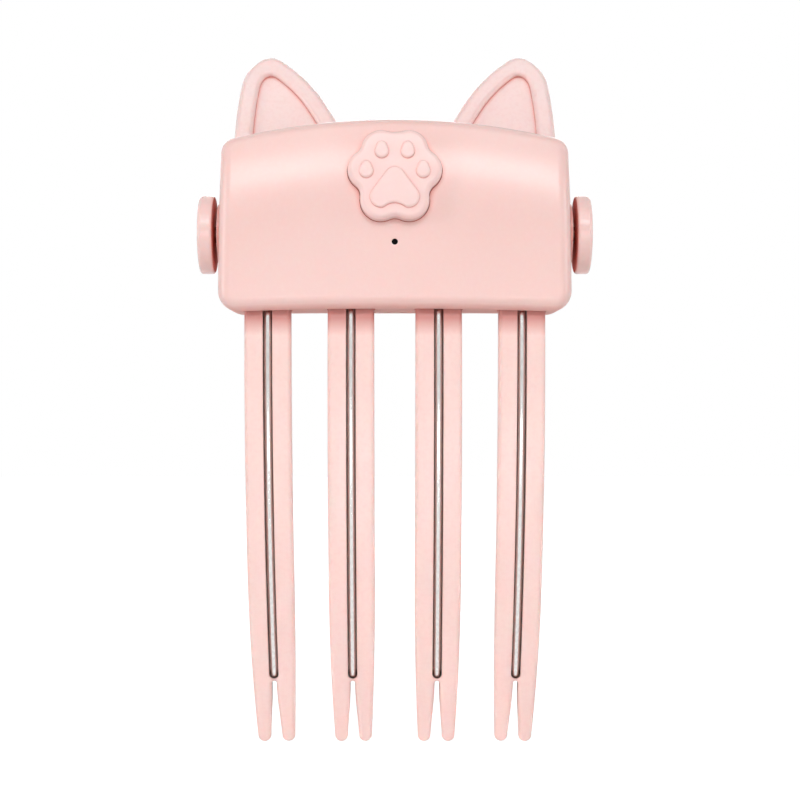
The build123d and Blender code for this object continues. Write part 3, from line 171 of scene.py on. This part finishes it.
class Look:
    """A material with a Principled shader and short ways to add nodes to it."""

    def __init__(self, name):
        self.material = bpy.data.materials.new(name)
        self.material.use_nodes = True
        self.tree = self.material.node_tree
        self.tree.nodes.clear()
        self.shader = self.node("ShaderNodeBsdfPrincipled")
        output = self.node("ShaderNodeOutputMaterial")
        self.link(self.shader.outputs["BSDF"], output.inputs["Surface"])
        coordinates = self.node("ShaderNodeTexCoord")
        self.place = coordinates.outputs["Object"]
        self.facing = coordinates.outputs["Normal"]

    def node(self, kind):
        return self.tree.nodes.new(kind)

    def link(self, source, target):
        self.tree.links.new(source, target)

    def set(self, **values):
        """Sets sockets of the shader; an underscore stands for a space in their names."""
        for name, value in values.items():
            self.shader.inputs[name.replace("_", " ")].default_value = value

    def feed(self, source, name):
        """Links a socket to one of the shader's."""
        self.link(source, self.shader.inputs[name])

    def noise(self, scale, detail, stretch=(1, 1, 1)):
        """Noise from 0 to 1; scale is in features per metre."""
        mapping = self.node("ShaderNodeMapping")
        mapping.inputs["Scale"].default_value = stretch
        self.link(self.place, mapping.inputs["Vector"])
        noise = self.node("ShaderNodeTexNoise")
        noise.inputs["Scale"].default_value = scale
        noise.inputs["Detail"].default_value = detail
        self.link(mapping.outputs["Vector"], noise.inputs["Vector"])
        return noise.outputs["Fac"]

    def between(self, value, low, high, span=NOISE_MIDDLE):
        """Turns value's stretch over span into low to high."""
        ranged = self.node("ShaderNodeMapRange")
        names = ("From Min", "From Max", "To Min", "To Max")
        for name, number in zip(names, (*span, low, high)):
            ranged.inputs[name].default_value = number
        self.link(value, ranged.inputs["Value"])
        return ranged.outputs["Result"]

    def mix(self, share, first, second):
        """Mixes two colours; each is an RGBA value or a socket."""
        mixer = self.node("ShaderNodeMix")
        mixer.data_type = "RGBA"
        self.link(share, mixer.inputs["Factor"])
        for slot, colour in ((6, first), (7, second)):      # the sockets A and B for colours
            if isinstance(colour, tuple):
                mixer.inputs[slot].default_value = colour
            else:
                self.link(colour, mixer.inputs[slot])
        return mixer.outputs[2]

    def blend(self, share, value, other):
        """Mixes a socket's value with a number."""
        mixer = self.node("ShaderNodeMix")
        self.link(share, mixer.inputs[0])
        self.link(value, mixer.inputs[2])                   # the sockets A and B for numbers
        mixer.inputs[3].default_value = other
        return mixer.outputs[0]

    def axis(self, vector, name):
        """One coordinate of a vector."""
        split = self.node("ShaderNodeSeparateXYZ")
        self.link(vector, split.inputs["Vector"])
        return split.outputs[name]

    def edges(self, radius, strength):
        """Mask of the rounded edges, which hands and handling polish, and which on the tines and the lever
        take a painted shade of their rounded flanks.
        """
        bevel = self.node("ShaderNodeBevel")
        bevel.samples = BEVEL_SAMPLES
        bevel.inputs["Radius"].default_value = radius
        geometry = self.node("ShaderNodeNewGeometry")
        dot = self.node("ShaderNodeVectorMath")
        dot.operation = "DOT_PRODUCT"
        self.link(bevel.outputs["Normal"], dot.inputs[0])
        self.link(geometry.outputs["Normal"], dot.inputs[1])
        return self.between(dot.outputs["Value"], strength, 0.0, EDGE_COSINES)

    def underside(self):
        """Mask of the faces that look down."""
        return self.between(self.axis(self.facing, "Z"), 1.0, 0.0, DOWN_COSINES)

    def knob_inside(self):
        """Mask of the knobs' faces towards the housing."""
        distance = self.node("ShaderNodeMath")
        distance.operation = "ABSOLUTE"
        self.link(self.axis(self.place, "X"), distance.inputs[0])
        return self.between(distance.outputs["Value"], 1.0, 0.0, [x * MM for x in KNOB_RIM])

    def painted_root_shadow(self, colour):
        """Warms the tines softly with a painted shadow of the housing where they come out of it."""
        height = self.axis(self.place, "Z")
        share = self.between(height, 0.0, ROOT_SHADOW_SHARE, [z * MM for z in ROOT_HEIGHTS])
        return self.mix(share, colour, linear(ROOT_SHADOW))

    def painted_crease_shade(self, distance, colour, crease_shade, gap_shade, own, gaps):
        """Warms pale plastic in its creases with a painted shade, and paints a deeper shade into narrow
        gaps.
        """
        occlusion = self.node("ShaderNodeAmbientOcclusion")
        occlusion.samples = OCCLUSION_SAMPLES
        occlusion.only_local = own
        occlusion.inputs["Distance"].default_value = distance
        openness = occlusion.outputs["AO"]
        colour = self.mix(self.between(openness, CREASE_SHARE, 0.0, CREASES), colour, linear(crease_shade))
        return self.mix(self.between(openness, 1.0, 0.0, gaps), colour, linear(gap_shade))

    def bump(self, height, distance, strength):
        bump = self.node("ShaderNodeBump")
        bump.inputs["Strength"].default_value = strength
        bump.inputs["Distance"].default_value = distance
        self.link(height, bump.inputs["Height"])
        self.feed(bump.outputs["Normal"], "Normal")


def moulded(name, main, other, edge_wear_and_shade, round_off=0.25 * MM, crease_shade=CREASE_SHADE, gap_shade=GAP_SHADE, reach=1.5 * MM,
            own=False, rough=SATIN, gaps=GAPS, root_shadowed=False, dull_and_shaded=None, painted_shade_colour=UNDERSIDE_SHADE):
    """Satin injection-moulded plastic.

    The edge colour goes on rounded edges: where it is lighter it is wear, and where it is darker, as on
    the tines and the lever, it is a painted shade of their rounded flanks; it also tints fine specks. A
    painted shade goes into creases and gaps up to reach away, among the piece's own surfaces only where
    own is set. The root switch adds a painted shadow of the housing on the tines' roots, and the matt
    method of Look masks faces of a duller finish, which also take a painted shade as their colour.
    """
    look = Look(name)
    patches = look.between(look.noise(PATCHES, 1), 0, 1, NOISE_MOST)
    colour = look.mix(patches, linear(main), linear(other))
    specks = look.between(look.noise(SPECKS, 2), 0.0, SPECK_SHARE, NOISE_PEAKS)
    colour = look.mix(specks, colour, linear(edge_wear_and_shade))
    # Rounded edges: lighter wear on most pieces, and a darker painted shade of the rounded flanks on the
    # tines and the lever
    colour = look.mix(look.edges(round_off, EDGE_SHARE), colour, linear(edge_wear_and_shade))
    smudges = look.between(look.noise(SMUDGES, 1), *rough, NOISE_MOST)
    look.set(IOR=PLASTIC_IOR, Specular_IOR_Level=PLASTIC_SPECULAR)
    # Painted shadow of the housing on the tines' roots
    if root_shadowed:
        colour = look.painted_root_shadow(colour)
    # A duller finish on the masked faces, whose colour is a painted shade
    if dull_and_shaded:
        dull_and_shaded_faces = dull_and_shaded(look)
        colour = look.mix(dull_and_shaded_faces, colour, linear(painted_shade_colour))
        smudges = look.blend(dull_and_shaded_faces, smudges, MATT_ROUGH)
        look.feed(look.between(dull_and_shaded_faces, PLASTIC_SPECULAR, MATT_SPECULAR, (0.0, 1.0)), "Specular IOR Level")
    # Painted shade in creases and gaps
    look.feed(look.painted_crease_shade(reach, colour, crease_shade, gap_shade, own, gaps), "Base Color")
    look.feed(smudges, "Roughness")
    look.bump(look.noise(GRAIN, 2), GRAIN_DEPTH, GRAIN_STRENGTH)
    look.set(
        Subsurface_Weight=SUBSURFACE_WEIGHT,
        Subsurface_Scale=SUBSURFACE_SCALE,
        Subsurface_Radius=SUBSURFACE_RADIUS,
    )
    return look.material


def metal(name, main, other, rough=(0.16, 0.3), stretch=(1, 1, 0.03), scale=5000):
    """Drawn or turned metal, with fine lines along the direction that stretch shortens."""
    look = Look(name)
    lines = look.noise(scale, 3, stretch)
    colour = look.mix(look.between(lines, 0, 1), linear(main), linear(other))
    worn = look.edges(METAL_EDGE, METAL_EDGE_SHARE)
    look.feed(look.mix(worn, colour, linear(brighter(main, METAL_BRIGHTER))), "Base Color")
    look.feed(look.between(look.noise(METAL_SMUDGES, 3), *rough), "Roughness")
    look.bump(lines, METAL_LINE_DEPTH, FINE_STRENGTH)
    look.set(Metallic=1.0)
    return look.material


def coated(name, main, other, rough=(0.3, 0.5), scale=400, metallic=0.0, specular=0.5):
    """Small hidden or dark pieces: resin, film, board, silicone."""
    look = Look(name)
    colour = look.mix(look.between(look.noise(scale, 3), 0, 1), linear(main), linear(other))
    worn = look.edges(COATED_EDGE, COATED_EDGE_SHARE)
    look.feed(look.mix(worn, colour, linear(brighter(main, COATED_BRIGHTER))), "Base Color")
    look.feed(look.between(look.noise(scale * COATED_SMUDGES, 2), *rough), "Roughness")
    look.bump(look.noise(scale * COATED_GRAIN, 2), COATED_GRAIN_DEPTH, FINE_STRENGTH)
    look.set(Metallic=metallic, Specular_IOR_Level=specular)
    return look.material


# Camera and light

def make_camera():
    data = bpy.data.cameras.new("camera")
    camera = bpy.data.objects.new("camera", data)
    bpy.context.scene.collection.objects.link(camera)
    camera.location = CAMERA_AT
    camera.rotation_euler = (math.pi / 2, 0, 0)
    data.sensor_width = SENSOR
    data.lens = LENS
    data.shift_x = SHIFT_X
    data.clip_start = CLIP_START
    bpy.context.scene.camera = camera
    bpy.context.scene.view_settings.view_transform = "Standard"


def emptied(owner):
    """The node tree of a world or material, with nothing in it."""
    owner.use_nodes = True
    owner.node_tree.nodes.clear()
    return owner.node_tree


def mix_seen(tree, unseen, seen, output):
    """Gives output the shader seen for camera, glossy and transmission rays, else unseen."""
    path = tree.nodes.new("ShaderNodeLightPath")
    total = path.outputs["Is Camera Ray"]
    for name in ("Is Glossy Ray", "Is Transmission Ray"):
        larger = tree.nodes.new("ShaderNodeMath")
        larger.operation = "MAXIMUM"
        tree.links.new(total, larger.inputs[0])
        tree.links.new(path.outputs[name], larger.inputs[1])
        total = larger.outputs["Value"]
    mix = tree.nodes.new("ShaderNodeMixShader")
    for source, target in zip((total, unseen, seen), mix.inputs):
        tree.links.new(source, target)
    tree.links.new(mix.outputs["Shader"], output.inputs["Surface"])


def make_world(up, down):
    """White to the eye, and soft light that comes more from above than from below."""
    world = bpy.data.worlds.new("studio")
    bpy.context.scene.world = world
    tree = emptied(world)
    output = tree.nodes.new("ShaderNodeOutputWorld")
    lighting = tree.nodes.new("ShaderNodeBackground")
    white = tree.nodes.new("ShaderNodeBackground")
    white.inputs["Strength"].default_value = 1.0
    white.inputs["Color"].default_value = (1, 1, 1, 1)
    place = tree.nodes.new("ShaderNodeTexCoord")
    split = tree.nodes.new("ShaderNodeSeparateXYZ")
    ranged = tree.nodes.new("ShaderNodeMapRange")
    for name, number in (("From Min", -1.0), ("From Max", 1.0), ("To Min", down), ("To Max", up)):
        ranged.inputs[name].default_value = number
    tree.links.new(place.outputs["Generated"], split.inputs["Vector"])
    tree.links.new(split.outputs["Z"], ranged.inputs["Value"])
    tree.links.new(ranged.outputs["Result"], lighting.inputs["Strength"])
    mix_seen(tree, lighting.outputs["Background"], white.outputs["Background"], output)


def make_floor():
    """Pale floor that looks white and still takes the object's shadow."""
    mesh = bpy.data.meshes.new("floor")
    corners = [(x * FLOOR_HALF, y * FLOOR_HALF, FLOOR_Z) for x, y in ((-1, -1), (1, -1), (1, 1), (-1, 1))]
    mesh.from_pydata(corners, [], [(0, 1, 2, 3)])
    floor = bpy.data.objects.new("floor", mesh)
    bpy.context.scene.collection.objects.link(floor)
    material = bpy.data.materials.new("floor")
    tree = emptied(material)
    output = tree.nodes.new("ShaderNodeOutputMaterial")
    plain = tree.nodes.new("ShaderNodeBsdfDiffuse")
    plain.inputs["Color"].default_value = (FLOOR_GREY, FLOOR_GREY, FLOOR_GREY, 1)
    shaded = tree.nodes.new("ShaderNodeBsdfDiffuse")
    shaded.inputs["Color"].default_value = (SEEN_GREY, SEEN_GREY, SEEN_GREY, 1)
    glow = tree.nodes.new("ShaderNodeEmission")
    glow.inputs["Strength"].default_value = SEEN_GLOW
    both = tree.nodes.new("ShaderNodeAddShader")
    tree.links.new(shaded.outputs["BSDF"], both.inputs[0])
    tree.links.new(glow.outputs["Emission"], both.inputs[1])
    mix_seen(tree, plain.outputs["BSDF"], both.outputs["Shader"], output)
    mesh.materials.append(material)


def area_light(name, at, size, power, target, spread):
    data = bpy.data.lights.new(name, "AREA")
    data.spread = math.radians(spread)
    data.shape = "RECTANGLE"
    data.size, data.size_y = size
    data.energy = power
    lamp = bpy.data.objects.new(name, data)
    bpy.context.scene.collection.objects.link(lamp)
    lamp.location = at
    lamp.rotation_euler = (Vector(target) - Vector(at)).to_track_quat("-Z", "Y").to_euler()


make_camera()
make_world(SKY_UP, SKY_DOWN)
make_floor()
for lamp_name, lamp_values in LAMPS.items():
    area_light(lamp_name, *lamp_values)


# Materials: one for each slot, and own ones for a few nodes

# The tines' edge colour is a painted shade of their rounded flanks and their crease colour a painted shade
# in creases; their slots take a near-black painted shade
tine = {
    "main": (251, 218, 212),
    "other": (250, 214, 207),
    "edge_wear_and_shade": (238, 176, 168),
    "round_off": 0.6 * MM,
    "crease_shade": (214, 160, 148),
    "reach": 2.0 * MM,
    "own": True,
    "rough": (0.34, 0.42),
}
even = (1, 1, 1)
looks = {
    # The shell's downward faces are duller, and darker by a painted shade
    "shell_pink": moulded("shell_pink", PINK, PINK_WARM, PINK_EDGE, dull_and_shaded=Look.underside),
    "button_pink": moulded("button_pink", (251, 216, 212), (250, 212, 207), PINK_EDGE, rough=(0.20, 0.25)),
    "tine_pink": moulded("tine_pink", **tine, gap_shade=SLOT_SHADE, gaps=SLOTS, root_shadowed=True),
    "silicone": coated("silicone", (238, 186, 180), (232, 178, 172), rough=(0.6, 0.75), scale=700),
    "rod_steel": metal("rod_steel", (224, 222, 220), (206, 204, 202), rough=(0.10, 0.18)),
    "holder_dark": coated("holder_dark", (62, 60, 60), (48, 46, 46)),
    "heater_core": coated("heater_core", (222, 220, 212), (208, 205, 196)),
    "flex_amber": coated("flex_amber", (176, 104, 30), (196, 124, 44), rough=(0.2, 0.35)),
    "board_green": coated("board_green", (26, 86, 48), (34, 100, 58), rough=(0.2, 0.35)),
    "switch_black": coated("switch_black", (20, 20, 20), (30, 30, 30)),
    "led_body": coated("led_body", (236, 236, 226), (226, 226, 214), rough=(0.1, 0.2)),
    "light_pipe": coated("light_pipe", (3, 2, 2), (6, 5, 5), rough=(0.6, 0.75), scale=2000, specular=0.1),
    "socket_metal": metal("socket_metal", (186, 186, 188), (168, 168, 170), stretch=even, scale=1500),
    "battery_foil": coated("battery_foil", (196, 198, 204), (182, 184, 190), metallic=0.8),
    "lead_red": coated("lead_red", (160, 24, 20), (146, 18, 16)),
    "screw_steel": metal("screw_steel", (190, 190, 192), (168, 168, 170), stretch=even, scale=2500),
    "bushing_brass": metal("bushing_brass", (206, 170, 96), (190, 152, 80), stretch=(0.05, 1, 1)),
    # Dark reddish brown: a painted shade of the gap by the knobs, where the axle shows
    "axle_steel": metal("axle_steel", (128, 76, 66), (112, 66, 56), stretch=(1, 0.05, 0.05)),
    "spring_steel": metal("spring_steel", (150, 151, 156), (128, 129, 134), stretch=even, scale=1200),
}
# The knobs' inner faces take a dark reddish painted shade
knob_pink = moulded("knob_pink", (254, 217, 212), (252, 212, 206), PINK_EDGE, reach=1.8 * MM,
                    dull_and_shaded=Look.knob_inside, painted_shade_colour=KNOB_INSIDE_SHADE)
# The lever is a lighter copy of the pink, painted light on the ears' panels; its darker edge colour is a
# painted shade of the ear rims' flanks, and its crease colour a painted shade
lit_lever_pink = moulded("lit_lever_pink", (253, 225, 222), (252, 220, 216), (234, 172, 164), round_off=1.0 * MM,
                     crease_shade=(222, 130, 116), reach=1.7 * MM)
own_looks = {
    "hinge_knob_left": knob_pink,
    "hinge_knob_right": knob_pink,
    "rear_lever": lit_lever_pink,
    "press_comb": moulded("jaw_pink", **tine),
}
slots = {entry["node"]: entry["material_slot"] for entry in frame["record"]["subparts"]}
for node, piece in frame["nodes"].items():
    for slot in piece.material_slots:
        slot.material = own_looks.get(node, looks[slots[node]])


# Torsion springs

def tangent_angle(y, z, side):
    """Angle on the coil at which a straight leg to (y, z) leaves it."""
    return math.atan2(z, y) + side * math.acos(MEAN_R / math.hypot(y, z))


def spring_line():
    """Centre line of the right-hand spring, in millimetres."""
    start = tangent_angle(*SPRING_FOOT, 1)
    end = tangent_angle(*SPRING_ARM, -1) + 2 * math.pi * SPRING_TURNS
    x0, x1 = SPRING_X

    def on_coil(angle):
        share = (angle - start) / (end - start)
        eased = share * share * (3 - 2 * share) * EASE + share * (1 - EASE)
        y, z = MEAN_R * math.cos(angle), MEAN_R * math.sin(angle)
        return Vector((x0 + (x1 - x0) * eased, y, HINGE_Z + z))

    foot = Vector((x0, SPRING_FOOT[0], HINGE_Z + SPRING_FOOT[1]))
    arm = Vector((x1, SPRING_ARM[0], HINGE_Z + SPRING_ARM[1]))
    first, last = on_coil(start), on_coil(end)
    steps = TURN_STEPS * SPRING_TURNS
    return (
        [foot.lerp(first, i / LEG_STEPS) for i in range(LEG_STEPS)]
        + [on_coil(start + (end - start) * i / steps) for i in range(steps + 1)]
        + [last.lerp(arm, i / LEG_STEPS) for i in range(1, LEG_STEPS + 1)]
    )


def tube(points, radius):
    """Round wire along points, with rounded ends, as a smooth mesh."""
    along = [(b - a).normalized() for a, b in zip(points, points[1:])]
    along = [along[0]] + [(a + b).normalized() for a, b in zip(along, along[1:])] + [along[-1]]
    across = along[0].orthogonal().normalized()
    stations = []
    for point, direction in zip(points, along):
        across = (across - direction * across.dot(direction)).normalized()
        stations.append((point, direction, across, radius))

    def cap(station, outwards):
        """Stations of a rounded end, from the wire outwards."""
        point, direction, sideways, _ = station
        return [
            (point + direction * radius * out * CAP_LENGTH * outwards, direction, sideways, radius * width)
            for out, width in WIRE_CAPS
        ]

    stations = cap(stations[0], -1)[::-1] + stations + cap(stations[-1], 1)
    mesh = bmesh.new()
    turns = [2 * math.pi * i / WIRE_RING for i in range(WIRE_RING)]
    rings = []
    for point, direction, across, size in stations:
        other = direction.cross(across)
        rings.append([
            mesh.verts.new((point + (across * math.cos(a) + other * math.sin(a)) * size) * MM)
            for a in turns
        ])
    for low, high in zip(rings, rings[1:]):
        for i in range(WIRE_RING):
            j = (i + 1) % WIRE_RING
            mesh.faces.new((low[i], low[j], high[j], high[i]))
    mesh.faces.new(list(reversed(rings[0])))
    mesh.faces.new(rings[-1])
    for face in mesh.faces:
        face.smooth = True
    return mesh


def add_springs():
    for name, side in (("left", -1), ("right", 1)):
        mesh = tube(spring_line(), WIRE_R)
        if side < 0:
            mesh.transform(Matrix.Scale(-1, 4, (1, 0, 0)))
            bmesh.ops.reverse_faces(mesh, faces=mesh.faces[:])
        data = bpy.data.meshes.new(f"spring_wire_{name}")
        mesh.to_mesh(data)
        mesh.free()
        data.materials.append(looks["spring_steel"])
        spring = bpy.data.objects.new(f"spring_wire_{name}", data)
        bpy.context.scene.collection.objects.link(spring)
        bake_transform(spring)
        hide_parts(f"torsion_spring_{name}")


add_springs()
